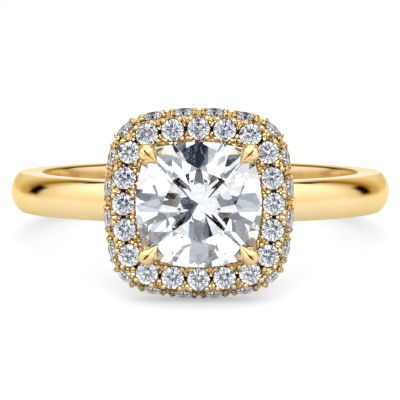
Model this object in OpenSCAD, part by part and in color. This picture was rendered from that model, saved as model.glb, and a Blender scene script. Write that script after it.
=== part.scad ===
// Halo ring: a domed gold band that carries a square cushion-cut stone in four claws,
// with one row of small round stones around it and a second row round the side.
// Lengths are in millimetres. The origin is the centre of the finger hole.
// The ring lies on its side, as it rests by itself: on the halo's lower edge and on the
// band's back, with +Z up and the stones towards -Y.

/* [Band] */
// Inside diameter of the finger hole
finger_d = 16.9; // [15.7:0.1:18.9]
// Width of the band, along the finger
band_w = 2.05; // [1.85:0.05:2.3]
// Thickness of the band at the crest of its dome
band_t = 1.75; // [1.6:0.05:2]
// Radius of the dome across the band
dome_r = 1.38; // [1.3:0.02:2]
// Chamfer that eases each edge of the band
band_edge = 0.1; // [0.06:0.01:0.14]

/* [Centre stone] */
// Width of the centre stone over its girdle
stone_w = 6.15; // [6:0.05:6.3]
// Radius of each bowed side of its outline
stone_side_r = 6.45; // [6:0.05:7]
// Radius of each rounded corner of its outline
stone_corner_r = 0.9; // [0.8:0.05:1]
// Width of its table, as a share of the stone's width
stone_table = 0.58; // [0.55:0.01:0.62]
// Height of its crown
stone_crown = 0.7; // [0.65:0.05:0.8]
// Height of its girdle at the facets' corners
stone_girdle = 0.18; // [0.16:0.01:0.22]
// Depth of its pavilion
stone_pavilion = 2.75; // [2.6:0.05:2.8]
// Height of its culet above the crest of the band
culet_clear = 0.2; // [0.15:0.05:0.4]

/* [Halo] */
// Half of the top row's width, to the middle of its stones
halo_half = 3.7; // [3.68:0.01:3.75]
// Radius of the bowed sides, along the middle of the top row
halo_side_r = 11.3; // [10.8:0.1:11.7]
// Radius of the rounded corners, along the middle of the top row
halo_corner_r = 1.4; // [1.35:0.05:1.5]
// Diameter of the top row's stones
top_stone_d = 1.12; // [1.06:0.01:1.14]
// Diameter of the side row's stones
side_stone_d = 1.02; // [0.96:0.01:1.08]
// Drop from the centre stone's girdle to the halo's top face
halo_drop = 0.25; // [0.2:0.01:0.35]
// Height of the halo's frame
halo_h = 1.5; // [1.45:0.05:1.6]
// Angle between the side stones and the top stones
side_lean = 72; // [70:1:76]
// Radius of each bead that holds a stone of the top row
top_bead_r = 0.12; // [0.1:0.01:0.13]
// Radius of each bead that holds a stone of the side row
side_bead_r = 0.15; // [0.13:0.01:0.16]
// Radius of the notch between two side stones
notch_r = 0.12; // [0.1:0.01:0.15]

/* [Claws and gallery] */
// Radius of a claw at its round end
claw_r = 0.46; // [0.42:0.01:0.48]
// Length of a claw from the middle of its round end to its tip
claw_l = 0.82; // [0.76:0.01:0.88]
// Radius of a claw's leg
leg_r = 0.36; // [0.32:0.01:0.38]
// Radius of the wire that ties the legs together
rail_r = 0.28; // [0.25:0.01:0.3]
// Top radius of the collar that joins the setting to the band
collar_r = 1.45; // [1.35:0.05:1.6]
// Angle by which the head leans out of the band's plane
head_lean = 0.75; // [0:0.25:1.5]

/* [Hidden] */
// Number of stones in each row
row_count = 20;
// Space that is kept round every stone
gap = 0.02;
// Shares of a small round stone's diameter
round_table = 0.56;
round_crown = 0.15;
round_girdle = 0.04;
round_pavilion = 0.43;
// Heights up a crown and a pavilion where their middle facets meet
crown_mid = 0.5;
pavilion_mid = 0.18;
// Share of the full width to which a cushion table's corners are drawn in
table_corners = 0.86;
// Outline shapes, as half width, side radius and corner radius
centre_shape = [stone_w / 2, stone_side_r, stone_corner_r];
halo_shape = [halo_half, halo_side_r, halo_corner_r];
// Band radii
finger_r = finger_d / 2;
crest_r = finger_r + band_t;
// Heights along the head's own axis, from the centre of the finger hole
culet_h = crest_r + culet_clear;
girdle_h = culet_h + stone_pavilion + stone_girdle;
halo_top = girdle_h - stone_girdle - halo_drop;
collar_top = crest_r + 0.1;
collar_low = crest_r - 0.8;
collar_flare = 0.4;
rail_h = crest_r + 0.75;
// The halo frame's section, as distances outwards from the middle of the top row
frame_in = -0.72;
frame_out = 0.56;
bevel_h = 1.36;
bevel_out = frame_out + bevel_h / tan(side_lean);
frame_foot = 0.12;
frame_chamfer = 0.25;
// The side row's middle, on the bevel
side_drop = bevel_h / 2;
side_out = (frame_out + bevel_out) / 2;
// Share of its radius by which the middle of a notch lies past the foot of the bevel
notch_past = 0.05;
// Each row's beads, as radius, angle from the row, distance past the girdle and height above it
top_beads = [top_bead_r, 50, 0.07, 0.02];
side_beads = [side_bead_r, 24, 0.09, 0.04];
// The frame's corners run this far into its sides, as an angle, and are slimmer by seam_in
seam_turn = 2;
seam_in = 0.01;
// The legs' places in the diagonal planes, as distance from the axis and height
claw_foot = [1.05, crest_r - 0.35];
claw_knee = [3.48, halo_top - 0.2];
claw_bulb = [3.56, girdle_h + 0.15];
knee_more = 0.02;
claw_slope = 15;
claw_point_r = 0.03;
// The ring rests on the halo frame's lower edge, or on the lowest beads where they reach further,
// and on the band's lower edge at the back. Each foot is a distance from the middle of the finger
// hole, a depth below it and a radius, before the ring leans.
bead_down = (side_stone_d / 2 + side_beads[2]) * sin(side_beads[1]);
bead_foot = [halo_top - side_drop - bead_down * sin(side_lean) + side_beads[3] * cos(side_lean),
             halo_half + side_out + bead_down * cos(side_lean) + side_beads[3] * sin(side_lean), side_bead_r];
edge_foot = [halo_top - bevel_h, halo_half + bevel_out, 0];
band_foot = [crest_r - dome_r + sqrt(pow(dome_r, 2) - pow(band_w / 2, 2)), band_w / 2];
function tilt_on(foot) =
    let (l = norm([foot[0], foot[1]]), a = atan2(foot[1], foot[0]) - head_lean,
         run = l * cos(a) + band_foot[0], drop = l * sin(a) - band_foot[1])
    atan2(drop, run) + asin(foot[2] / norm([run, drop]));
rest_tilt = max(tilt_on(bead_foot), tilt_on(edge_foot));
STEPS = 32;

function two_digits(i) = str(i < 10 ? "0" : "", i);
function stone_names(row) = [for (i = [1:row_count]) str(row, "_", two_digits(i))];

// A cushion outline is four bowed sides and four rounded corners, all arcs that meet smoothly.
// side_back: how far a side's centre lies behind the middle, and corner_at: a corner centre's x and y
function side_back(shape) = shape[1] - shape[0];
function corner_at(shape) =
    (sqrt(2 * pow(shape[1] - shape[2], 2) - pow(side_back(shape), 2)) - side_back(shape)) / 2;
// Half of the angle that a side's arc spans
function side_turn(shape) = atan2(corner_at(shape), corner_at(shape) + side_back(shape));
function grown(shape, by) = [shape[0] + by, shape[1] + by, shape[2] + by];

// Distance from the middle to the outline at an angle from the X axis
function outline_r(shape, angle) =
    let (turn = abs(angle - 90 * round(angle / 90)), back = side_back(shape), c = corner_at(shape),
         half = side_turn(shape), meet = atan2(shape[1] * sin(half), shape[1] * cos(half) - back))
    shape[0] == shape[1] ? shape[0]
    : turn <= meet ? sqrt(pow(shape[1], 2) - pow(back * sin(turn), 2)) - back * cos(turn)
    : c * (sin(turn) + cos(turn)) + sqrt(pow(shape[2], 2) - pow(c * (cos(turn) - sin(turn)), 2));

// Length of a quarter of the outline
function quarter_l(shape) =
    (2 * shape[1] * side_turn(shape) + shape[2] * (90 - 2 * side_turn(shape))) * PI / 180;

// Place and outward angle [x, y, angle] at a length s along the outline from the middle of the +X side
function outline_at(shape, s) =
    let (l = quarter_l(shape), turns = floor(s / l), u = s - turns * l, half = side_turn(shape),
         side_l = shape[1] * half * PI / 180, c = corner_at(shape), back = side_back(shape),
         first = u < side_l, last = u > l - side_l,
         angle = first ? u / shape[1] * 180 / PI
             : last ? 90 - (l - u) / shape[1] * 180 / PI
             : half + (u - side_l) / shape[2] * 180 / PI,
         centre = first ? [-back, 0] : last ? [0, -back] : [c, c],
         r = first || last ? shape[1] : shape[2],
         x = centre[0] + r * cos(angle), y = centre[1] + r * sin(angle), q = 90 * turns)
    [x * cos(q) - y * sin(q), x * sin(q) + y * cos(q), angle + q];

// Puts its children on the outline, with +X outwards and +Y along the row
module on_outline(shape, s) {
    p = outline_at(shape, s);
    translate([p[0], p[1], 0]) rotate([0, 0, p[2]]) children();
}

// Height of the plane through three points, over a place [x, y]
function plane_z(a, b, c, p) =
    let (n = cross(b - a, c - a)) a[2] - (n[0] * (p[0] - a[0]) + n[1] * (p[1] - a[1])) / n[2];

// A facet corner between a side facet and a corner facet that run from radii in0 and in1
// to out0 and out1: share is how far out it lies, and q turns it to its eighth of the stone
function facet_corner(in0, in1, out0, out1, share, z, i) =
    let (q0 = in0 + (out0 - in0) * share, q1 = in1 + (out1 - in1) * share,
         even = i % 2 == 0, a = even ? q0 : q1, b = even ? q1 : q0, side = b * sqrt(2) - a)
    [a * cos(45 * i) - side * sin(45 * i), a * sin(45 * i) + side * cos(45 * i), z];

// A brilliant-cut stone with its table up and the top of its girdle at z = 0. Its outline is
// shape, table is a share of its width, and each eighth has 2 * k points on its girdle.
module brilliant(shape, table, crown, girdle, pavilion, k) {
    n = 16 * k;
    r0 = outline_r(shape, 0);
    r1 = outline_r(shape, 45);
    t0 = table * r0;
    t1 = table * r1 * (r1 > r0 ? table_corners : 1);
    rim = [for (j = [0:n - 1]) let (a = 360 * j / n, r = outline_r(shape, a)) [r * cos(a), r * sin(a)]];
    tables = [for (i = [0:7]) let (r = i % 2 == 0 ? t0 : t1) [r * cos(45 * i), r * sin(45 * i), crown]];
    mids = [for (i = [0:7]) facet_corner(t0, t1, r0, r1, 1 - crown_mid, crown * crown_mid, i)];
    lows = [for (i = [0:7])
        facet_corner(0, 0, r0, r1, pavilion_mid, -girdle - pavilion * (1 - pavilion_mid), i)];
    function rim_point(j, z) = [rim[j % n][0], rim[j % n][1], z];
    // The girdle's edge follows the facets that meet it, each flat from corner to corner
    function edge(j, inner, z) =
        let (i = floor(j / (2 * k)), a = floor(j / k) * k)
        rim_point(j, plane_z(inner[i], rim_point(a, z), rim_point(a + k, z), rim[j]));
    uppers = [for (j = [0:n - 1]) j % k == 0 ? rim_point(j, 0) : edge(j, mids, 0)];
    lowers = [for (j = [0:n - 1]) j % k == 0 ? rim_point(j, -girdle) : edge(j, lows, -girdle)];
    u = 16;
    d = u + n;
    p = d + n;
    culet = p + 8;
    facets = concat(
        [[for (i = [7:-1:0]) i]],
        [for (i = [0:7]) [i, (i + 1) % 8, 8 + i]],
        [for (i = [0:7]) [i, 8 + i, u + 2 * k * i, 8 + (i + 7) % 8]],
        [for (i = [0:7], h = [0:1]) concat([8 + i], [for (j = [k:-1:0]) u + (2 * k * i + k * h + j) % n])],
        [for (j = [0:n - 1]) [u + j, u + (j + 1) % n, d + (j + 1) % n, d + j]],
        [for (i = [0:7], h = [0:1]) concat([p + i], [for (j = [0:k]) d + (2 * k * i + k * h + j) % n])],
        [for (i = [0:7]) [culet, p + (i + 7) % 8, d + 2 * k * i, p + i]]);
    polyhedron(concat(tables, mids, uppers, lowers, lows, [[0, 0, -girdle - pavilion]]), facets);
}

module round_stone(d) {
    brilliant([d / 2, d / 2, d / 2], round_table, round_crown * d, round_girdle * d, round_pavilion * d, 1);
}

// The space that a round stone takes, with the gap round it
module round_space(d) {
    r = d / 2;
    rotate_extrude($fn = STEPS) polygon([
        [0, -(round_girdle + round_pavilion) * d - 2 * gap],
        [r + gap, -round_girdle * d - gap / 2],
        [r + gap, gap / 2],
        [r * round_table + gap, round_crown * d + gap],
        [0, round_crown * d + gap]]);
}

module centre_brilliant(by = 0) {
    brilliant(grown(centre_shape, by), stone_table, stone_crown + by, stone_girdle, stone_pavilion + by, 3);
}

// The four beads that hold a round stone
module beads(d, row) {
    for (sx = [-1, 1], sy = [-1, 1])
        translate([sx * (d / 2 + row[2]) * sin(row[1]), sy * (d / 2 + row[2]) * cos(row[1]), row[3]])
            sphere(r = row[0], $fn = STEPS);
}

// Puts its children at stone i of the top row or of the side row, with the stone's table up
module in_top_row(i) {
    translate([0, 0, halo_top]) on_outline(halo_shape, (i - 1) * 4 * quarter_l(halo_shape) / row_count)
        children();
}

module in_side_row(i) {
    shape = grown(halo_shape, side_out);
    translate([0, 0, halo_top - side_drop]) on_outline(shape, (i - 0.5) * 4 * quarter_l(shape) / row_count)
        rotate([0, side_lean, 0]) children();
}

// The ring leans back onto its feet. The head is modelled along +Z and then turned to point along -Y.
module as_rested() {
    rotate([-rest_tilt, 0, 0]) children();
}

module on_head() {
    as_rested() rotate([90 - head_lean, 0, 0]) children();
}

// Section of the halo's frame, outwards and up from the middle of the top row
module frame_section(r, slim = 0) {
    translate([r, halo_top]) polygon([
        [frame_in + slim, -slim],
        [frame_out - slim, -slim],
        [bevel_out - slim, -bevel_h],
        [bevel_out - frame_foot - slim, slim - halo_h],
        [frame_in + frame_chamfer + slim, slim - halo_h],
        [frame_in + slim, frame_chamfer - halo_h]]);
}

module halo_frame() {
    half = side_turn(halo_shape);
    c = corner_at(halo_shape);
    for (q = [0:90:270]) rotate([0, 0, q]) {
        translate([-side_back(halo_shape), 0, 0]) rotate([0, 0, -half])
            rotate_extrude(angle = 2 * half, $fn = 4 * STEPS) frame_section(halo_side_r);
        translate([c, c, 0]) rotate([0, 0, half - seam_turn])
            rotate_extrude(angle = 90 - 2 * half + 2 * seam_turn, $fn = 4 * STEPS)
                frame_section(halo_corner_r, seam_in);
    }
}

// One notch between side stones i and i + 1, cut straight down the side
module notch(i) {
    shape = grown(halo_shape, bevel_out + notch_r * notch_past);
    translate([0, 0, halo_top - 2 * halo_h]) on_outline(shape, i * 4 * quarter_l(shape) / row_count)
        cylinder(r = notch_r, h = 3 * halo_h, $fn = STEPS);
}

// A straight length of leg between two places in the diagonal plane
module leg(from, to, r) {
    run = to - from;
    translate([from[0], 0, from[1]]) rotate([0, atan2(run[0], run[1]), 0])
        cylinder(r = r, h = norm(run), $fn = STEPS);
}

// A leg from the collar up to the stone's corner, with a teardrop claw over it
module claw() {
    meet = 180 - acos(claw_r / claw_l);
    leg(claw_foot, claw_knee, leg_r);
    leg(claw_knee, claw_bulb, leg_r);
    translate([claw_knee[0], 0, claw_knee[1]]) sphere(r = leg_r + knee_more, $fn = STEPS);
    translate([claw_bulb[0], 0, claw_bulb[1]]) rotate([0, claw_slope - 90, 0])
        rotate_extrude($fn = STEPS) polygon(concat(
            [for (i = [0:9]) let (a = meet * i / 9) [claw_r * sin(a), -claw_r * cos(a)]],
            [[claw_point_r, claw_l - claw_point_r], [0, claw_l]]));
}

// The wire round the legs, and the collar that they stand on
module gallery() {
    rail_at = claw_foot + (claw_knee - claw_foot) * (rail_h - claw_foot[1]) / (claw_knee[1] - claw_foot[1]);
    translate([0, 0, rail_h]) rotate_extrude($fn = 2 * STEPS)
        translate([rail_at[0], 0]) circle(r = rail_r, $fn = STEPS);
    translate([0, 0, collar_low])
        cylinder(r1 = collar_r - collar_flare, r2 = collar_r, h = collar_top - collar_low, $fn = 2 * STEPS);
}

module band() {
    rotate_extrude($fn = 4 * STEPS) intersection() {
        translate([crest_r - dome_r, 0]) circle(r = dome_r, $fn = 4 * STEPS);
        translate([finger_r, 0]) polygon([
            [0, band_edge - band_w / 2],
            [band_edge, -band_w / 2],
            [band_t, -band_w / 2],
            [band_t, band_w / 2],
            [band_edge, band_w / 2],
            [0, band_w / 2 - band_edge]]);
    }
}

module band_and_setting() {
    color("goldenrod") {
        as_rested() band();
        on_head() difference() {
            union() {
                halo_frame();
                for (a = [45:90:315]) rotate([0, 0, a]) claw();
                gallery();
                for (i = [1:row_count]) {
                    in_top_row(i) beads(top_stone_d, top_beads);
                    in_side_row(i) beads(side_stone_d, side_beads);
                }
            }
            translate([0, 0, girdle_h]) centre_brilliant(gap);
            for (i = [1:row_count]) {
                in_top_row(i) round_space(top_stone_d);
                in_side_row(i) round_space(side_stone_d);
                notch(i);
            }
        }
    }
}

module centre_stone() {
    color("white") on_head() translate([0, 0, girdle_h]) centre_brilliant();
}

module halo_stone(i) {
    color("white") on_head() in_top_row(i) round_stone(top_stone_d);
}

module side_stone(i) {
    color("white") on_head() in_side_row(i) round_stone(side_stone_d);
}

band_and_setting();
centre_stone();
for (i = [1:row_count]) {
    halo_stone(i);
    side_stone(i);
}
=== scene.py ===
import math

import bmesh
import bpy
from mathutils import Matrix, Vector


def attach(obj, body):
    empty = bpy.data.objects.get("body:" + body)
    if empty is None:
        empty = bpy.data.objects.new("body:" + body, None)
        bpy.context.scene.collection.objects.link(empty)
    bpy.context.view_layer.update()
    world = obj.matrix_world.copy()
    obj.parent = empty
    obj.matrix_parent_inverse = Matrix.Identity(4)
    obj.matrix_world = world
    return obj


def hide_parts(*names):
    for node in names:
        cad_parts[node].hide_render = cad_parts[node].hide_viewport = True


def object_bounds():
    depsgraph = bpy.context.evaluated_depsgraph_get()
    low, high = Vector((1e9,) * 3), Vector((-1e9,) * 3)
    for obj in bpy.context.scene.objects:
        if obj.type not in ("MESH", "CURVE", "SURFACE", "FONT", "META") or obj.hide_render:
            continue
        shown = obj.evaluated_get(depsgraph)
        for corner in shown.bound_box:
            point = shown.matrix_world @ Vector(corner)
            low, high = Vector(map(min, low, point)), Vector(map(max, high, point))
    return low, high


# The looks of the halo ring. Its metal is one fused mesh, and its stones are the frame's own.
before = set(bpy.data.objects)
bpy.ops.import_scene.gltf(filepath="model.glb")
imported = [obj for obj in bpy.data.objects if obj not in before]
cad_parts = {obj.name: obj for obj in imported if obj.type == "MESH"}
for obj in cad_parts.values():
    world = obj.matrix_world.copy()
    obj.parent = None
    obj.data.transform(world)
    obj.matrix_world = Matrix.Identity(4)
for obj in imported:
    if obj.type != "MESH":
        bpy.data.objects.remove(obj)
cad_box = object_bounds()

# Lengths are in millimetres up to the point where a mesh is made, and in metres from there on
MM = 0.001

# Band: radii of the finger hole and of the dome's crest, width, radius of the dome across it,
# radius of its inner edges, and the steps round it and across the dome
FINGER_R = 8.45
CREST_R = 10.2
BAND_W = 2.05
DOME_R = 1.38
BAND_EDGE = 0.13
BAND_STEPS = 288
DOME_STEPS = 40

# Centre stone: the height of its girdle along the head's own axis, and half its width
GIRDLE_H = 13.33
STONE_HALF = 3.075
# Space that is kept round every stone
SPACE = 0.02
# Shares of a round stone's diameter: its table, crown and girdle, and its depth below them
ROUND_TABLE = 0.56
ROUND_CROWN = 0.15
ROUND_GIRDLE = 0.04
ROUND_DEPTH = 0.47

# Halo: the shape of its outline, as half width, radius of the sides and radius of the corners.
# Its height on the head's axis, its thickness, and the stones in each of its two rows
HALO_SHAPE = (3.7, 11.3, 1.4)
HALO_TOP = 12.9
HALO_H = 1.5
ROW_COUNT = 20
TOP_STONE_D = 1.12
SIDE_STONE_D = 1.02
SIDE_LEAN = math.radians(72)
# Section of the frame, outwards and down from the middle of the top row
FRAME_IN = -0.72
FRAME_OUT = 0.56
BEVEL_H = 1.36
BEVEL_OUT = FRAME_OUT + BEVEL_H / math.tan(SIDE_LEAN)
SIDE_DROP = BEVEL_H / 2
SIDE_OUT = (FRAME_OUT + BEVEL_OUT) / 2
FRAME_FOOT = 0.12
FRAME_CHAMFER = 0.25
FRAME_INNER_R = 0.07
FRAME_EDGE_R = 0.05
FRAME_STEPS = 320
# A notch between two side stones, and the share of its radius by which it lies past the bevel
NOTCH_R = 0.12
NOTCH_PAST = 0.05
NOTCH_STEPS = 32
# Each row's beads, as radius, angle from the row, distance past the girdle and height above it
TOP_BEADS = (0.125, math.radians(50), 0.07, 0.02)
SIDE_BEADS = (0.14, math.radians(24), 0.08, 0.01)
BEAD_RINGS = 10
BEAD_SIDES = 18
# How far a seat opens round its stone, and how far up its cut goes
SEAT_FLARE = 0.035
SEAT_TOP = 0.3
SEAT_STEPS = 48
# The pit between two stones of the top row, and its width at its floor as a share
PIT_R = 0.12
PIT_DEPTH = 0.35
PIT_FLOOR = 0.7
PIT_STEPS = 16

# A claw: radius of its round end, length from there to its tip, slope, how its width tapers,
# how far its last section is from the tip and half the width there
CLAW_R = 0.46
CLAW_L = 0.83
CLAW_SLOPE = math.radians(15)
CLAW_TAPER = 1.25
CLAW_END = 0.01
CLAW_POINT = 0.012
CLAW_STEPS = 14
CLAW_SIDES = 56
# How closely the points round a claw crowd at its top, where 1 is not at all
CLAW_CROWDING = 1.5
# The ridge along a claw: how far back it starts, how sharp it gets, how soon, and how it rises
RIDGE_BACK = 0.1
RIDGE_SHARP = 0.6
RIDGE_SOON = 1.8
RIDGE_RISE = 0.4
# The crease along the ridge: how far back it starts, over what length it deepens, its depth,
# half its width, and the half width of a claw below which it gets shallower
CREASE_BACK = 0.2
CREASE_START = 0.15
CREASE_DEPTH = 0.12
CREASE_W = 0.08
CREASE_FULL_W = 0.2
# Places along a leg, as distance from the head's axis and height in the diagonal planes
CLAW_FOOT = (1.05, 9.85)
CLAW_KNEE = (3.48, 12.7)
CLAW_BULB = (3.56, 13.48)
LEG_R = 0.36
LEG_SIDES = 28
KNEE_R = 0.45
KNEE_STEPS = 10
# The wire that ties the legs together, and the collar on the band
RAIL_H = 10.95
RAIL_R = 0.28
RAIL_SIDES = 24
COLLAR_R = 1.45
COLLAR_LOW = 9.4
COLLAR_TOP = 10.3
COLLAR_FLARE = 0.4
COLLAR_EDGE_R = 0.08
TURN_STEPS = 96
# Edges of the metal that turn by more than this stay sharp
SHARP_ANGLE = math.radians(35)
# Points that are closer than this are one: in millimetres, and in metres for the CAD's own
WELD = 1e-5
CAD_WELD = 1e-6

# How far the ring leans as it rests on the halo's edge and the band's back, and how far the
# head leans out of the band's plane
REST_TILT = math.radians(9.3787)
HEAD_LEAN = math.radians(0.75)
RESTED = Matrix.Rotation(-REST_TILT, 4, "X")
ON_HEAD = RESTED @ Matrix.Rotation(math.pi / 2 - HEAD_LEAN, 4, "X")


# The outline along the halo: four bowed sides and four rounded corners, all arcs
def side_back(shape):
    """How far past the middle the centre of a side's arc lies."""
    return shape[1] - shape[0]


def corner_at(shape):
    """The distance of a corner's centre from both axes."""
    reach = 2 * (shape[1] - shape[2]) ** 2 - side_back(shape) ** 2
    return (math.sqrt(reach) - side_back(shape)) / 2


def side_turn(shape):
    """Half of the angle that a side's arc turns through."""
    return math.atan2(corner_at(shape), corner_at(shape) + side_back(shape))


def grown(shape, by):
    return tuple(length + by for length in shape)


def quarter_l(shape):
    """The length of a quarter of the outline."""
    half = side_turn(shape)
    return 2 * shape[1] * half + shape[2] * (math.pi / 2 - 2 * half)


def outline_at(shape, s):
    """Place x, y and outward angle at a length s along the outline from the middle of the +X side."""
    length = quarter_l(shape)
    # The end of a quarter counts as the start of the next one, in spite of rounding
    turns = math.floor(s / length + 1e-9)
    u = s - turns * length
    half = side_turn(shape)
    side_l = shape[1] * half
    if u < side_l:
        centre, r, angle = (-side_back(shape), 0), shape[1], u / shape[1]
    elif u > length - side_l:
        centre, r, angle = (0, -side_back(shape)), shape[1], math.pi / 2 - (length - u) / shape[1]
    else:
        centre, r, angle = (corner_at(shape),) * 2, shape[2], half + (u - side_l) / shape[2]
    place = Vector((centre[0] + r * math.cos(angle), centre[1] + r * math.sin(angle)))
    turn = turns * math.pi / 2
    place.rotate(Matrix.Rotation(turn, 2))
    return place.x, place.y, angle + turn


def on_outline(shape, s, height):
    """A frame on the outline, with +X outwards and +Y along the row."""
    x, y, angle = outline_at(shape, s)
    return Matrix.Translation((x, y, height)) @ Matrix.Rotation(angle, 4, "Z")


def top_places():
    step = 4 * quarter_l(HALO_SHAPE) / ROW_COUNT
    return [on_outline(HALO_SHAPE, i * step, HALO_TOP) for i in range(ROW_COUNT)]


def side_places():
    shape = grown(HALO_SHAPE, SIDE_OUT)
    step = 4 * quarter_l(shape) / ROW_COUNT
    lean = Matrix.Rotation(SIDE_LEAN, 4, "Y")
    return [on_outline(shape, (i + 0.5) * step, HALO_TOP - SIDE_DROP) @ lean for i in range(ROW_COUNT)]


# Sections and solids
def arc(centre, r, start, end, steps):
    angles = [start + (end - start) * i / steps for i in range(steps + 1)]
    return [(centre[0] + r * math.cos(a), centre[1] + r * math.sin(a)) for a in angles]


def rounded(corners, steps=5, closed=True):
    """A section with each corner (x, y, radius) rounded by an arc."""
    points = []
    count = len(corners)
    for i, (x, y, r) in enumerate(corners):
        here = Vector((x, y))
        if not r or (not closed and i in (0, count - 1)):
            points.append((x, y))
            continue
        before = (Vector(corners[i - 1][:2]) - here).normalized()
        after = (Vector(corners[(i + 1) % count][:2]) - here).normalized()
        half = before.angle(after) / 2
        middle = here + (before + after).normalized() * (r / math.sin(half))
        start = here + before * (r / math.tan(half)) - middle
        end = here + after * (r / math.tan(half)) - middle
        sweep = start.angle_signed(end)
        for k in range(steps + 1):
            turned = start.copy()
            turned.rotate(Matrix.Rotation(-sweep * k / steps, 2))
            points.append(tuple(middle + turned))
    return points


def skin(rings, closed):
    """Points and faces of a tube through rings of points, closed on itself or capped."""
    size = len(rings[0])
    points = [point for ring in rings for point in ring]
    faces = []
    for i in range(len(rings) if closed else len(rings) - 1):
        near, far = i * size, (i + 1) % len(rings) * size
        for k in range(size):
            after = (k + 1) % size
            faces.append((near + k, near + after, far + after, far + k))
    if not closed:
        faces.append(tuple(range(size))[::-1])
        faces.append(tuple(len(points) - size + k for k in range(size)))
    return points, faces


def lathe(profile, steps):
    """A closed profile (radius, height) turned about the Z axis."""
    rings = []
    for i in range(steps):
        a = 2 * math.pi * i / steps
        rings.append([Vector((r * math.cos(a), r * math.sin(a), z)) for r, z in profile])
    return skin(rings, True)


def placed(solid, matrix):
    points, faces = solid
    return [matrix @ Vector(point) for point in points], faces


def joined(solids):
    points, faces = [], []
    for some_points, some_faces in solids:
        start = len(points)
        points += some_points
        faces += [tuple(start + k for k in face) for face in some_faces]
    return points, faces


def make(name, solid):
    """An object of one or more closed solids, with outward faces and no doubled points."""
    points, faces = solid
    mesh = bpy.data.meshes.new(name)
    mesh.from_pydata([tuple(point) for point in points], [], faces)
    shape = bmesh.new()
    shape.from_mesh(mesh)
    bmesh.ops.remove_doubles(shape, verts=shape.verts, dist=WELD)
    bmesh.ops.recalc_face_normals(shape, faces=shape.faces)
    shape.to_mesh(mesh)
    shape.free()
    piece = bpy.data.objects.new(name, mesh)
    bpy.context.scene.collection.objects.link(piece)
    return piece


def combine(piece, operation, tool):
    """Adds a tool's solids to a piece or takes them away, and removes the tool."""
    step = piece.modifiers.new(operation, "BOOLEAN")
    step.solver = "MANIFOLD"
    step.operation = operation
    step.object = tool
    done = piece.evaluated_get(bpy.context.evaluated_depsgraph_get())
    mesh = bpy.data.meshes.new_from_object(done)
    old = piece.data
    piece.modifiers.clear()
    piece.data = mesh
    bpy.data.meshes.remove(old)
    bpy.data.meshes.remove(tool.data)


# The metal's parts
def band():
    half = BAND_W / 2
    edge = math.asin(half / DOME_R)
    dome = arc((CREST_R - DOME_R, 0), DOME_R, -edge, edge, DOME_STEPS)
    corners = [(FINGER_R, half, BAND_EDGE), (FINGER_R, -half, BAND_EDGE)]
    section = rounded(corners + [(r, z, 0) for r, z in dome])
    return placed(lathe(section, BAND_STEPS), RESTED)


def halo_frame():
    corners = [
        (FRAME_IN, 0, FRAME_INNER_R),
        (FRAME_OUT, 0, FRAME_EDGE_R),
        (BEVEL_OUT, -BEVEL_H, FRAME_EDGE_R),
        (BEVEL_OUT - FRAME_FOOT, -HALO_H, FRAME_EDGE_R),
        (FRAME_IN + FRAME_CHAMFER, -HALO_H, FRAME_EDGE_R),
        (FRAME_IN, FRAME_CHAMFER - HALO_H, FRAME_EDGE_R),
    ]
    section = rounded(corners)
    step = 4 * quarter_l(HALO_SHAPE) / FRAME_STEPS
    rings = []
    for i in range(FRAME_STEPS):
        place = on_outline(HALO_SHAPE, i * step, HALO_TOP)
        rings.append([place @ Vector((out, 0, up)) for out, up in section])
    return skin(rings, True)


def stone_space(d, flare=0.0):
    """The space of a round stone, and with a flare the cut that opens round its girdle."""
    r = d / 2 + SPACE
    low = [(0, -ROUND_DEPTH * d - 2 * SPACE), (r, -ROUND_GIRDLE * d - SPACE / 2)]
    if flare:
        high = [(r, -flare), (r + flare, SPACE), (r + flare, SEAT_TOP), (0, SEAT_TOP)]
    else:
        table = ROUND_CROWN * d + SPACE
        high = [(r, SPACE / 2), (r * ROUND_TABLE, table), (0, table)]
    return lathe(low + high, SEAT_STEPS)


def beads(places, d, row):
    """Four beads round each stone of a row."""
    r, angle, past, up = row
    grain = lathe(arc((0, 0), r, -math.pi / 2, math.pi / 2, BEAD_RINGS), BEAD_SIDES)
    grains = []
    reach = d / 2 + past
    for place in places:
        for out in (-1, 1):
            for along in (-1, 1):
                spot = (out * reach * math.sin(angle), along * reach * math.cos(angle), up)
                grains.append(placed(grain, place @ Matrix.Translation(spot)))
    return joined(grains)


def notches():
    """The notches that are cut straight down the side between the side stones."""
    shape = grown(HALO_SHAPE, BEVEL_OUT + NOTCH_R * NOTCH_PAST)
    step = 4 * quarter_l(shape) / ROW_COUNT
    profile = [(0, -2 * HALO_H), (NOTCH_R, -2 * HALO_H), (NOTCH_R, HALO_H), (0, HALO_H)]
    cut = lathe(profile, NOTCH_STEPS)
    return joined([placed(cut, on_outline(shape, i * step, HALO_TOP)) for i in range(ROW_COUNT)])


def pits():
    """The drilled pits between the stones of the top row."""
    profile = [(0, -PIT_DEPTH), (PIT_R * PIT_FLOOR, -PIT_DEPTH), (PIT_R, SPACE), (0, SPACE)]
    pit = lathe(profile, PIT_STEPS)
    step = 4 * quarter_l(HALO_SHAPE) / ROW_COUNT
    places = [on_outline(HALO_SHAPE, (i + 0.5) * step, HALO_TOP) for i in range(ROW_COUNT)]
    return joined([placed(pit, place) for place in places])


def leg():
    """A leg from the collar up to its claw, bent smoothly at the knee."""
    path = rounded([(*CLAW_FOOT, 0), (*CLAW_KNEE, KNEE_R), (*CLAW_BULB, 0)], KNEE_STEPS, False)
    rings = []
    for i, (out, up) in enumerate(path):
        ahead = Vector(path[min(i + 1, len(path) - 1)]) - Vector(path[max(i - 1, 0)])
        ahead.normalize()
        ring = []
        for k in range(LEG_SIDES):
            a = 2 * math.pi * k / LEG_SIDES
            across = LEG_R * math.cos(a)
            ring.append(Vector((out + ahead.y * across, LEG_R * math.sin(a), up - ahead.x * across)))
        rings.append(ring)
    return skin(rings, False)


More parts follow.
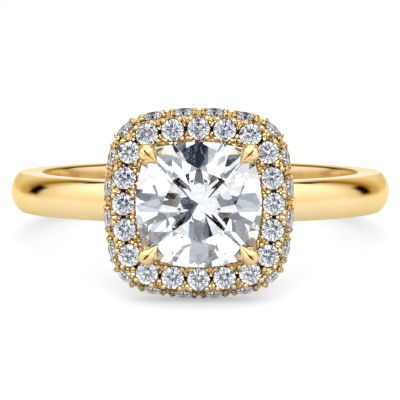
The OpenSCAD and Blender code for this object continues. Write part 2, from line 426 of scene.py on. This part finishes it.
def claw_widths():
    """Places along a claw and half its width there: a round end and a taper to the point."""
    meet = math.acos(-CLAW_R / CLAW_L)
    places = []
    for i in range(1, CLAW_STEPS + 1):
        a = meet * i / CLAW_STEPS
        places.append((-CLAW_R * math.cos(a), CLAW_R * math.sin(a)))
    last, wide = places[-1]
    for i in range(1, CLAW_STEPS + 1):
        share = i / CLAW_STEPS
        half_w = wide * (1 - share) ** CLAW_TAPER + CLAW_POINT * share
        places.append((last + (CLAW_L - CLAW_END - last) * share, half_w))
    return places


def limited(share):
    return min(max(share, 0), 1)


def claw():
    """A teardrop along +X, round behind and drawn out to a creased ridge that ends in a point."""
    # More points near the top, where the crease is
    half = CLAW_SIDES // 2
    shares = [math.copysign(abs(k / half) ** CLAW_CROWDING, k) for k in range(1 - half, half + 1)]
    angles = [math.pi / 2 + math.pi * share for share in shares]
    rings = []
    for x, w in claw_widths():
        share = limited((x + RIDGE_BACK) / (CLAW_L + RIDGE_BACK))
        power = 2 - RIDGE_SHARP * min(RIDGE_SOON * share, 1)
        creased = limited((x + CREASE_BACK) / CREASE_START)
        ring = []
        for a in angles:
            c, s = math.cos(a), math.sin(a)
            n = power if s > 0 else 2
            side = math.copysign(abs(c) ** (2 / n), c)
            up = math.copysign(abs(s) ** (2 / n), s) * w * (1 + RIDGE_RISE * share)
            if s > 0:
                near = max(0, 1 - abs(w * side) / CREASE_W)
                up -= CREASE_DEPTH * creased * near * min(w / CREASE_FULL_W, 1)
            ring.append(Vector((x, w * side, up)))
        rings.append(ring)
    return skin(rings, False)


def legs_and_claws():
    tip = Matrix.Translation((CLAW_BULB[0], 0, CLAW_BULB[1])) @ Matrix.Rotation(math.pi, 4, "Z")
    tip = tip @ Matrix.Rotation(-CLAW_SLOPE, 4, "Y")
    quarters = [Matrix.Rotation(math.radians(45 + 90 * i), 4, "Z") for i in range(4)]
    legs = joined([placed(leg(), turn) for turn in quarters])
    claws = joined([placed(claw(), turn @ tip) for turn in quarters])
    return legs, claws


def rail():
    """The wire through the legs, at the distance that the legs have at its height."""
    share = (RAIL_H - CLAW_FOOT[1]) / (CLAW_KNEE[1] - CLAW_FOOT[1])
    out = CLAW_FOOT[0] + (CLAW_KNEE[0] - CLAW_FOOT[0]) * share
    circle = arc((out, RAIL_H), RAIL_R, 0, 2 * math.pi, RAIL_SIDES)[:-1]
    return lathe(circle, TURN_STEPS)


def collar():
    low_r = COLLAR_R - COLLAR_FLARE
    corners = [
        (0, COLLAR_LOW, 0),
        (low_r, COLLAR_LOW, 0),
        (COLLAR_R, COLLAR_TOP, COLLAR_EDGE_R),
        (0, COLLAR_TOP, 0),
    ]
    return lathe(rounded(corners), TURN_STEPS)


def centre_space():
    """The centre stone's own shape, grown by the space that is kept round it."""
    shape = bmesh.new()
    shape.from_mesh(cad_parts["centre_stone"].data)
    bmesh.ops.remove_doubles(shape, verts=shape.verts, dist=CAD_WELD)
    points = [vertex.co / MM for vertex in shape.verts]
    faces = [tuple(vertex.index for vertex in face.verts) for face in shape.faces]
    shape.free()
    middle = ON_HEAD @ Vector((0, 0, GIRDLE_H))
    growth = 1 + SPACE / STONE_HALF
    return [middle + (point - middle) * growth for point in points], faces


def ring_metal():
    """All of the metal as one mesh: the head first, its cuts and beads, and the band last."""
    head = make("ring_metal", placed(halo_frame(), ON_HEAD))
    tops, sides = top_places(), side_places()

    def on_head(solids):
        return placed(joined(solids), ON_HEAD)

    def cut(name, solid):
        combine(head, "DIFFERENCE", make(name, solid))

    def add(name, solid):
        combine(head, "UNION", make(name, solid))

    flared_top = stone_space(TOP_STONE_D, SEAT_FLARE)
    flared_side = stone_space(SIDE_STONE_D, SEAT_FLARE)
    cut("top_seats", on_head([placed(flared_top, place) for place in tops]))
    cut("side_seats", on_head([placed(flared_side, place) for place in sides]))
    cut("pits", on_head([pits()]))
    add("top_beads", on_head([beads(tops, TOP_STONE_D, TOP_BEADS)]))
    add("side_beads", on_head([beads(sides, SIDE_STONE_D, SIDE_BEADS)]))
    legs, claws = legs_and_claws()
    add("legs", on_head([legs]))
    add("claws", on_head([claws]))
    add("rail", on_head([rail()]))
    add("collar", on_head([collar()]))
    cut("top_spaces", on_head([placed(stone_space(TOP_STONE_D), place) for place in tops]))
    cut("side_spaces", on_head([placed(stone_space(SIDE_STONE_D), place) for place in sides]))
    cut("notches", on_head([notches()]))
    cut("centre_space", centre_space())
    add("band", band())
    head.data.transform(Matrix.Scale(MM, 4))
    return head


# Node materials
def node(tree, kind, inputs=(), **settings):
    """A shader node with its settings made, and its inputs set to a value or linked to a socket."""
    made = tree.nodes.new(kind)
    for key, value in settings.items():
        setattr(made, key, value)
    for key, value in dict(inputs).items():
        if isinstance(value, bpy.types.NodeSocket):
            tree.links.new(value, made.inputs[key])
        else:
            made.inputs[key].default_value = value
    return made


def new_material(name):
    material = bpy.data.materials.new(name)
    material.use_nodes = True
    material.node_tree.nodes.clear()
    return material, material.node_tree


def ramp(tree, fac, stops):
    made = node(tree, "ShaderNodeValToRGB", {"Fac": fac})
    marks = made.color_ramp.elements
    while len(marks) < len(stops):
        marks.new(0.5)
    for mark, (position, colour) in zip(marks, stops):
        mark.position = position
        mark.color = (*colour, 1)
    return made.outputs["Color"]


def maths(tree, operation, *values, **settings):
    made = tree.nodes.new("ShaderNodeMath")
    made.operation = operation
    for key, value in settings.items():
        setattr(made, key, value)
    for socket, value in zip(made.inputs, values):
        if isinstance(value, bpy.types.NodeSocket):
            tree.links.new(value, socket)
        else:
            socket.default_value = value
    return made.outputs[0]


def rise(tree, value, start, end):
    """0 below start, 1 above end and smooth between, or the other way round."""
    made = node(tree, "ShaderNodeMapRange", {
        "Value": value, "From Min": start, "From Max": end}, interpolation_type="SMOOTHSTEP")
    return made.outputs["Result"]


def blend(tree, share, first, second):
    made = node(tree, "ShaderNodeMix", {"Factor": share}, data_type="RGBA")
    for key, value in (("A", first), ("B", second)):
        socket = next(s for s in made.inputs if s.name == key and s.type == "RGBA")
        if isinstance(value, bpy.types.NodeSocket):
            tree.links.new(value, socket)
        else:
            socket.default_value = (*value, 1)
    return next(s for s in made.outputs if s.type == "RGBA")


# Tones of the gold: its own two, painted light inside the band, painted shade on the flat rims and
# eased inner edges, in the cracks between grains and in crevices, and what it reflects at grazing
# angles
GOLD = ((0.93, 0.71, 0.36), (0.96, 0.755, 0.405))
INSIDE_LIGHT_GOLD = (0.98, 0.84, 0.56)
RIM_SHADE_GOLD = (0.94, 0.75, 0.29)
EDGE_SHADE_GOLD = (0.3, 0.17, 0.05)
CRACK_SHADE_GOLD = (0.22, 0.09, 0.02)
CREVICE_SHADE_GOLD = (0.1, 0.05, 0.015)
GRAZING_GOLD = (1.0, 0.88, 0.56, 1.0)
# Repeats per metre of its tones, grains, wear and polishing lines
TONE_SCALE = 420.0
GRAIN_SCALE = 4800.0
WEAR_SCALE = 900.0
LINE_SCALE = 2600.0
# How rough it is, at least and at most, and how much more inside the band
GOLD_ROUGH = (0.04, 0.08)
INSIDE_ROUGH = 0.08
# Where the band's tones start and where they are full: the inside's past the finger hole's
# radius, and the rims' below their own planes
INSIDE_FADE = (0.08, 0.03)
RIM_FADE = (0.01, 0.003)
# Over what length the rims' tone ends at the crest, and the eased edges' starts
CREST_FADE = 0.1
EDGE_FADE = 0.03
# Over what length the grains start above the halo's foot, and where they end above its top
FOOT_FADE = 0.2
TOP_FADE = (0.1, 0.03)
# How wide the cracks are and how far in a grain's dome rises, as shares of its size. The dome's
# height, and how strongly it shows
CRACK_W = 0.16
DOME_W = 0.45
GRAIN_HEIGHT = 0.06
GRAIN_STRENGTH = 0.7
# How far a crevice reaches, and the openness at which it starts to be dark and is darkest
CREVICE_REACH = 0.22
CREVICE_OPEN = (0.85, 0.3)
# Polishing lines: how much finer they are along one axis, their depth, and how strongly they show
LINE_STRETCH = (1.0, 1.0, 9.0)
LINE_HEIGHT = 0.01
LINE_STRENGTH = 0.04
# Part of every noise that is used, from its lower to its upper tones
NOISE_LOW = 0.3
NOISE_HIGH = 0.7


def band_light_and_shade(tree, place, polished):
    """The gold's colour with painted light and shade on the band, and a mask of the band's inside."""
    # Distance from the finger hole's own axis, and from the band's middle along it
    upright = node(tree, "ShaderNodeMapping", {"Vector": place, "Rotation": (REST_TILT, 0, 0)})
    own = upright.outputs["Vector"]
    flat = node(tree, "ShaderNodeVectorMath", {0: own, 1: (1, 1, 0)}, operation="MULTIPLY")
    radius = node(tree, "ShaderNodeVectorMath", {0: flat.outputs["Vector"]}, operation="LENGTH")
    away = radius.outputs["Value"]
    across = maths(tree, "ABSOLUTE", node(tree, "ShaderNodeSeparateXYZ", {"Vector": own}).outputs["Z"])
    inside = rise(tree, away, *((FINGER_R + past) * MM for past in INSIDE_FADE))
    # Painted light: the inside of the band is painted a paler gold
    colour = blend(tree, inside, polished, INSIDE_LIGHT_GOLD)
    # The flat rims are painted a slightly deeper yellow, as painted shade that dims their reflection
    rim = rise(tree, across, *((BAND_W / 2 - under) * MM for under in RIM_FADE))
    on_band = rise(tree, away, CREST_R * MM, (CREST_R - CREST_FADE) * MM)
    colour = blend(tree, maths(tree, "MULTIPLY", rim, on_band), colour, RIM_SHADE_GOLD)
    # The eased inner edges are painted darker, as painted shade along them
    edge_at = BAND_W / 2 - BAND_EDGE
    eased = rise(tree, across, edge_at * MM, (edge_at + EDGE_FADE) * MM)
    edge_r = FINGER_R + BAND_EDGE
    inner = rise(tree, away, edge_r * MM, (edge_r - EDGE_FADE) * MM)
    return blend(tree, maths(tree, "MULTIPLY", eased, inner), colour, EDGE_SHADE_GOLD), inside


def halo_grains(tree, place):
    """A mask of the halo's metal, and the distance to the nearest edge of the grains in it."""
    head_axis = ON_HEAD.to_3x3() @ Vector((0, 0, 1))
    up = node(tree, "ShaderNodeVectorMath", {0: place, 1: head_axis}, operation="DOT_PRODUCT")
    along = up.outputs["Value"]
    foot = HALO_TOP - HALO_H
    above_foot = rise(tree, along, foot * MM, (foot + FOOT_FADE) * MM)
    below_claws = rise(tree, along, *((HALO_TOP + past) * MM for past in TOP_FADE))
    grains = node(tree, "ShaderNodeTexVoronoi", {
        "Vector": place, "Scale": GRAIN_SCALE}, feature="DISTANCE_TO_EDGE")
    return maths(tree, "MULTIPLY", above_foot, below_claws), grains.outputs["Distance"]


def gold_material():
    """Polished yellow gold: satin inside the band, painted paler there as painted light, and painted
    dark in its crevices as painted shade.
    """
    material, tree = new_material("polished_gold")
    place = node(tree, "ShaderNodeTexCoord").outputs["Object"]
    tone = node(tree, "ShaderNodeTexNoise", {"Vector": place, "Scale": TONE_SCALE, "Detail": 3.0})
    polished = ramp(tree, tone.outputs["Fac"], [(NOISE_LOW, GOLD[0]), (NOISE_HIGH, GOLD[1])])
    colour, inside = band_light_and_shade(tree, place, polished)
    # Metal that is cut into small grains between the halo's stones, with painted shade in the cracks
    # between them
    grained, grain_edge = halo_grains(tree, place)
    crack_shade = maths(tree, "MULTIPLY", grained, rise(tree, grain_edge, CRACK_W, 0.0))
    colour = blend(tree, crack_shade, colour, CRACK_SHADE_GOLD)
    # Painted shade in crevices, darkest where nearby surfaces close the metal in
    shade = node(tree, "ShaderNodeAmbientOcclusion", {"Distance": CREVICE_REACH * MM}, samples=6)
    colour = blend(tree, rise(tree, shade.outputs["AO"], *CREVICE_OPEN), colour, CREVICE_SHADE_GOLD)
    wear = node(tree, "ShaderNodeTexNoise", {"Vector": place, "Scale": WEAR_SCALE, "Detail": 4.0})
    rough = node(tree, "ShaderNodeMapRange", {
        "Value": wear.outputs["Fac"], "From Min": NOISE_LOW, "From Max": NOISE_HIGH,
        "To Min": GOLD_ROUGH[0], "To Max": GOLD_ROUGH[1]})
    rough = maths(tree, "MULTIPLY_ADD", inside, INSIDE_ROUGH, rough.outputs["Result"])
    # Faint polishing lines, and the grains' domes over them
    stretched = node(tree, "ShaderNodeMapping", {"Vector": place, "Scale": LINE_STRETCH})
    lines = node(tree, "ShaderNodeTexNoise", {
        "Vector": stretched.outputs["Vector"], "Scale": LINE_SCALE, "Detail": 2.0})
    relief = node(tree, "ShaderNodeBump", {
        "Height": lines.outputs["Fac"], "Strength": LINE_STRENGTH, "Distance": LINE_HEIGHT * MM})
    domes = maths(tree, "MULTIPLY", grained, rise(tree, grain_edge, 0.0, DOME_W))
    relief = node(tree, "ShaderNodeBump", {
        "Height": domes, "Strength": GRAIN_STRENGTH, "Distance": GRAIN_HEIGHT * MM,
        "Normal": relief.outputs["Normal"]})
    shader = node(tree, "ShaderNodeBsdfPrincipled", {
        "Base Color": colour, "Metallic": 1.0, "Roughness": rough, "Specular Tint": GRAZING_GOLD,
        "Normal": relief.outputs["Normal"]})
    node(tree, "ShaderNodeOutputMaterial", {"Surface": shader.outputs["BSDF"]})
    return material


# Diamond: how strongly it bends light, its two tones, and their repeats per metre
DIAMOND_IOR = 2.417
DIAMOND = ((0.985, 0.992, 1.0), (1.0, 1.0, 1.0))
DIAMOND_SCALE = 700.0


def diamond_material():
    """Clear, colourless stone with a faint cool tone that varies through it."""
    material, tree = new_material("clear_diamond")
    place = node(tree, "ShaderNodeTexCoord").outputs["Object"]
    tone = node(tree, "ShaderNodeTexNoise", {"Vector": place, "Scale": DIAMOND_SCALE, "Detail": 2.0})
    stops = [(NOISE_LOW, DIAMOND[0]), (NOISE_HIGH, DIAMOND[1])]
    shader = node(tree, "ShaderNodeBsdfPrincipled", {
        "Base Color": ramp(tree, tone.outputs["Fac"], stops), "Roughness": 0.0, "IOR": DIAMOND_IOR,
        "Transmission Weight": 1.0})
    node(tree, "ShaderNodeOutputMaterial", {"Surface": shader.outputs["BSDF"]})
    return material


# The floor is solid up to one radius and fades out by another. It glows a little, so that the
# light on it is as even as a studio's, and less so for the metal.
FLOOR_SOLID_R = 16.0
FLOOR_R = 45.0
FLOOR_SIDES = 64
FLOOR_GLOW = 0.42
METAL_GLOW = 0.16
# Its two tones, their repeats per metre, and its roughness
FLOOR = ((0.9, 0.9, 0.905), (0.92, 0.92, 0.92))
FLOOR_SCALE = 300.0
FLOOR_ROUGH = 0.85


def floor_material():
    """A pale floor that fades out round the ring into the white studio."""
    material, tree = new_material("pale_floor")
    place = node(tree, "ShaderNodeTexCoord").outputs["Object"]
    grain = node(tree, "ShaderNodeTexNoise", {"Vector": place, "Scale": FLOOR_SCALE, "Detail": 3.0})
    stops = [(NOISE_LOW, FLOOR[0]), (NOISE_HIGH, FLOOR[1])]
    colour = ramp(tree, grain.outputs["Fac"], stops)
    away = node(tree, "ShaderNodeVectorMath", {0: place}, operation="LENGTH").outputs["Value"]
    # The camera and the stones see all of its glow
    path = node(tree, "ShaderNodeLightPath")
    seen = maths(tree, "MAXIMUM", path.outputs["Is Camera Ray"], path.outputs["Is Singular Ray"])
    shader = node(tree, "ShaderNodeBsdfPrincipled", {
        "Base Color": colour, "Roughness": FLOOR_ROUGH, "Specular IOR Level": 0.2,
        "Emission Color": (1.0, 1.0, 1.0, 1.0),
        "Emission Strength": maths(tree, "MULTIPLY_ADD", seen, FLOOR_GLOW - METAL_GLOW, METAL_GLOW),
        "Alpha": rise(tree, away, FLOOR_R * MM, FLOOR_SOLID_R * MM)})
    node(tree, "ShaderNodeOutputMaterial", {"Surface": shader.outputs["BSDF"]})
    return material


# The camera looks at the finger hole's centre from a little above the floor, and stands a
# little to the right of it. The centre is given in pixels of the picture, and the scale in
# pixels per millimetre.
VIEW_HEIGHT = math.radians(13.19)
VIEW_TURN = math.radians(0.33)
VIEW_DISTANCE = 137.0
VIEW_SCALE = 18.5
VIEW_CENTRE = (200.2, 190.05)
IMAGE_SIZE = 400
SENSOR_W = 36

# The studio: a white room with a few cards and openings in it, given by direction. Height is in
# degrees above the floor, and turn in degrees round from the front.
ROOM = [
    (-90, (1.04, 1.04, 1.04)), (-16, (1.0, 1.0, 1.0)), (-6, (0.98, 0.95, 0.9)), (3, (0.93, 0.87, 0.76)),
    (14, (0.97, 0.94, 0.88)), (24, (1.06, 1.04, 1.03)), (38, (1.2, 1.2, 1.3)), (50, (1.3, 1.3, 1.3)),
    (90, (1.3, 1.3, 1.3)),
]
# Each card is its turn and height, half its width and height, how softly it ends across and
# upwards, and its colour. These stand on both sides.
SIDE_CARDS = [
    (128, 20, 3, 19, 22, 22, (0.6, 0.43, 0.16)),
    (127, 25, 2, 15, 6, 9, (0.36, 0.22, 0.05)),
    (120.5, 8, 2.5, 6.5, 7, 8, (0.005, 0.003, 0.001)),
    (123.5, 46, 0.5, 2, 5, 9, (0.03, 0.015, 0.003)),
    (117, 52, 3, 4, 4, 7, (0.07, 0.03, 0.003)),
    (158, -1, 10, 3, 5, 6, (0.83, 0.74, 0.6)),
    (0, -5, 46, 32, 12, 8, (0.66, 0.54, 0.36)),
    (0, 5.8, 11, 6, 12, 9, (0.5, 0.32, 0.13)),
    (36, 12, 5, 30, 8, 14, (0.3, 0.17, 0.05)),
    (0, 50, 46, 18, 12, 6, (2.6, 2.5, 2.4)),
    (0, 80, 60, 10, 10, 10, (2.6, 2.5, 2.4)),
]
BLACK = (0.015, 0.022, 0.04)
DARK_GREY = (0.09, 0.12, 0.17)
GREY = (0.26, 0.3, 0.36)
PALE_GREY = (0.44, 0.5, 0.58)
BRIGHT = (1.7, 1.75, 1.85)
# These stand in front and only the stones see them, with turns to the right counted up
FRONT_CARDS = [
    (0, 5, 20, 10, 2, 2, GREY),
    (0, 33, 10, 11, 2, 2, BLACK),
    (28, 35, 8, 12, 2, 2, BLACK),
    (-45, 50, 8, 12, 2, 2, BLACK),
    (42, 5, 8, 10, 2, 2, DARK_GREY),
    (-95, 15, 10, 12, 2, 2, BLACK),
    (95, 15, 10, 12, 2, 2, BLACK),
    (-20, 0, 8, 8, 2, 2, BLACK),
    (-25, 30, 8, 6, 2, 2, PALE_GREY),
    (-18, 8, 5, 6, 2, 2, BRIGHT),
    (25, 13, 4, 7, 2, 2, BRIGHT),
    (40, 37, 8, 4, 2, 2, DARK_GREY),
    (15, 55, 8, 10, 2, 2, BLACK),
]
# Small black flags stand among them in slanting rows: their spacing across and upwards, the turn
# and height that one row and column start from, the slant, how small they are, up to 2, and how
# softly they end
FLAG_STEP = (10.5, 20.5)
FLAG_START = (48, 17)
FLAG_SLANT = 0.8
FLAG_SMALL = 1.1
FLAG_SOFT = 0.15
# One more card, behind the ring and for the stones
BACK_CARD = (180, 24, 18, 9, 8, 8, GREY)
# What the stones see in front, apart from the cards
FRONT_ROOM = [
    (-90, (1.1, 1.14, 1.2)), (-9, (1.1, 1.14, 1.2)), (-1, (1.13, 1.17, 1.25)),
    (24, (1.18, 1.24, 1.33)), (38, (1.4, 1.48, 1.6)), (62, (1.45, 1.53, 1.65)),
    (70, (0.04, 0.045, 0.06)), (90, (0.03, 0.035, 0.05)),
]
# How much brighter the front of the room is for the metal, and the turns where that ends
FRONT_LIGHT = 1.1
FRONT_END = (95.0, 105.0)
# The turns where what the stones see in front gives way to the room
SPARKLE_END = (125.0, 135.0)
# Half of the angle of the dark opening that the lens looks through, in degrees, and how softly
# it ends
LENS_HOLE = 8.0
LENS_SOFT = 1.0
# The light on the floor, and what the camera sees behind the ring
FLOOR_LIGHT = (0.97, 0.97, 0.97)
BACKDROP = (1.0, 1.0, 1.0)


def card(tree, light, turn, height, marks):
    """The light with one card laid over it."""
    at_turn, at_height, half_w, half_h, soft_w, soft_h, colour = marks
    across = maths(tree, "ABSOLUTE", maths(tree, "SUBTRACT", turn, at_turn))
    upwards = maths(tree, "ABSOLUTE", maths(tree, "SUBTRACT", height, at_height))
    share = maths(tree, "MULTIPLY", rise(tree, across, half_w + soft_w, half_w),
                  rise(tree, upwards, half_h + soft_h, half_h))
    return blend(tree, share, light, colour)


def flags(tree, light, turn, height):
    """The light with small black flags laid over it, where two waves crest together."""
    slanted = maths(tree, "MULTIPLY_ADD", height, -FLAG_SLANT, turn)
    waves = []
    for angle, step, start in zip((slanted, height), FLAG_STEP, FLAG_START):
        phase = maths(tree, "MULTIPLY", maths(tree, "SUBTRACT", angle, start), 2 * math.pi / step)
        waves.append(maths(tree, "SINE", phase))
    crest = rise(tree, maths(tree, "ADD", *waves), FLAG_SMALL, FLAG_SMALL + FLAG_SOFT)
    return blend(tree, crest, light, BLACK)


def studio():
    """The world's light: one for the metal, one for the stones, and plain ones for the rest."""
    world = bpy.data.worlds.new("studio")
    bpy.context.scene.world = world
    world.use_nodes = True
    world.cycles.sampling_method = "NONE"
    tree = world.node_tree
    tree.nodes.clear()
    direction = node(tree, "ShaderNodeTexCoord").outputs["Generated"]
    axes = node(tree, "ShaderNodeSeparateXYZ", {"Vector": direction})
    x, y, z = (axes.outputs[i] for i in range(3))
    turn = maths(tree, "DEGREES", maths(tree, "ARCTAN2", x, maths(tree, "MULTIPLY", y, -1.0)))
    aside = maths(tree, "ABSOLUTE", turn)
    height = maths(tree, "DEGREES", maths(tree, "ARCSINE", z))

    # What the metal sees, by height as a share from straight down to straight up
    share = maths(tree, "MULTIPLY_ADD", height, 1 / 180, 0.5)
    light = ramp(tree, share, [(angle / 180 + 0.5, colour) for angle, colour in ROOM])
    front = rise(tree, aside, FRONT_END[1], FRONT_END[0])
    brighter = maths(tree, "MULTIPLY_ADD", front, FRONT_LIGHT - 1, 1.0)
    scaled = node(tree, "ShaderNodeVectorMath", {0: light, "Scale": brighter}, operation="SCALE")
    light = scaled.outputs["Vector"]
    for marks in SIDE_CARDS:
        light = card(tree, light, aside, height, marks)

    # What the stones see in front
    sparkle = ramp(tree, share, [(angle / 180 + 0.5, colour) for angle, colour in FRONT_ROOM])
    sparkle = flags(tree, sparkle, turn, height)
    for marks in FRONT_CARDS:
        sparkle = card(tree, sparkle, turn, height, marks)
    # The lens looks in through a dark opening
    lens = Vector((0, -math.cos(VIEW_HEIGHT), math.sin(VIEW_HEIGHT)))
    towards = node(tree, "ShaderNodeVectorMath", {0: direction, 1: lens}, operation="DOT_PRODUCT")
    off_lens = maths(tree, "DEGREES", maths(tree, "ARCCOSINE", towards.outputs["Value"]))
    hole = rise(tree, off_lens, LENS_HOLE + LENS_SOFT, LENS_HOLE - LENS_SOFT)
    sparkle = blend(tree, hole, sparkle, BLACK)

    sparkle = blend(tree, rise(tree, aside, SPARKLE_END[1], SPARKLE_END[0]), light, sparkle)
    sparkle = card(tree, sparkle, aside, height, BACK_CARD)

    # The stones are perfectly sharp and the metal is not, so each gets its own light
    path = node(tree, "ShaderNodeLightPath")
    light = blend(tree, path.outputs["Is Singular Ray"], light, sparkle)
    light = blend(tree, path.outputs["Is Diffuse Ray"], light, FLOOR_LIGHT)
    light = blend(tree, path.outputs["Is Camera Ray"], light, BACKDROP)
    surface = node(tree, "ShaderNodeBackground", {"Color": light, "Strength": 1.0})
    node(tree, "ShaderNodeOutputWorld", {"Surface": surface.outputs["Background"]})


def camera():
    data = bpy.data.cameras.new("camera")
    lens = VIEW_SCALE * VIEW_DISTANCE
    data.sensor_width = SENSOR_W
    data.lens = data.sensor_width * lens / IMAGE_SIZE
    data.clip_start = 0.001
    data.clip_end = 100
    viewer = bpy.data.objects.new("camera", data)
    bpy.context.scene.collection.objects.link(viewer)
    dip = math.atan((IMAGE_SIZE / 2 - VIEW_CENTRE[1]) / lens)
    pan = math.atan((VIEW_CENTRE[0] - IMAGE_SIZE / 2) / lens)
    around = Matrix.Rotation(VIEW_TURN, 4, "Z") @ Matrix.Rotation(math.pi / 2 - VIEW_HEIGHT, 4, "X")
    back = Matrix.Translation((0, 0, VIEW_DISTANCE * MM))
    viewer.matrix_world = around @ back @ Matrix.Rotation(-dip, 4, "X") @ Matrix.Rotation(pan, 4, "Y")
    bpy.context.scene.camera = viewer


def floor():
    """A round floor at the lowest point of the ring."""
    angles = [2 * math.pi * i / FLOOR_SIDES for i in range(FLOOR_SIDES)]
    rim = [(FLOOR_R * MM * math.cos(a), FLOOR_R * MM * math.sin(a), 0) for a in angles]
    mesh = bpy.data.meshes.new("floor")
    mesh.from_pydata(rim, [], [tuple(range(FLOOR_SIDES))])
    ground = bpy.data.objects.new("floor", mesh)
    ground.location.z = cad_box[0][2]
    bpy.context.scene.collection.objects.link(ground)
    mesh.materials.append(floor_material())


def light_paths():
    """Bounces enough for light to come out of a stone again, and pure white that stays white."""
    scene = bpy.context.scene
    scene.view_settings.view_transform = "Standard"
    scene.cycles.max_bounces = 32
    scene.cycles.transmission_bounces = 32
    scene.cycles.glossy_bounces = 12
    scene.cycles.use_denoising = True
    scene.cycles.caustics_reflective = False
    scene.cycles.caustics_refractive = False


def dress():
    """The metal's mesh in place of the CAD's, and materials for it and for the stones."""
    metal = ring_metal()
    mesh = metal.data
    mesh.polygons.foreach_set("use_smooth", [True] * len(mesh.polygons))
    mesh.set_sharp_from_angle(angle=SHARP_ANGLE)
    mesh.materials.clear()
    mesh.materials.append(gold_material())
    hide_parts("band_and_setting")
    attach(metal, "root")
    diamond = diamond_material()
    for name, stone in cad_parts.items():
        if name != "band_and_setting":
            stone.data.materials.clear()
            stone.data.materials.append(diamond)
            stone.data.polygons.foreach_set("use_smooth", [False] * len(stone.data.polygons))


dress()
floor()
studio()
camera()
light_paths()
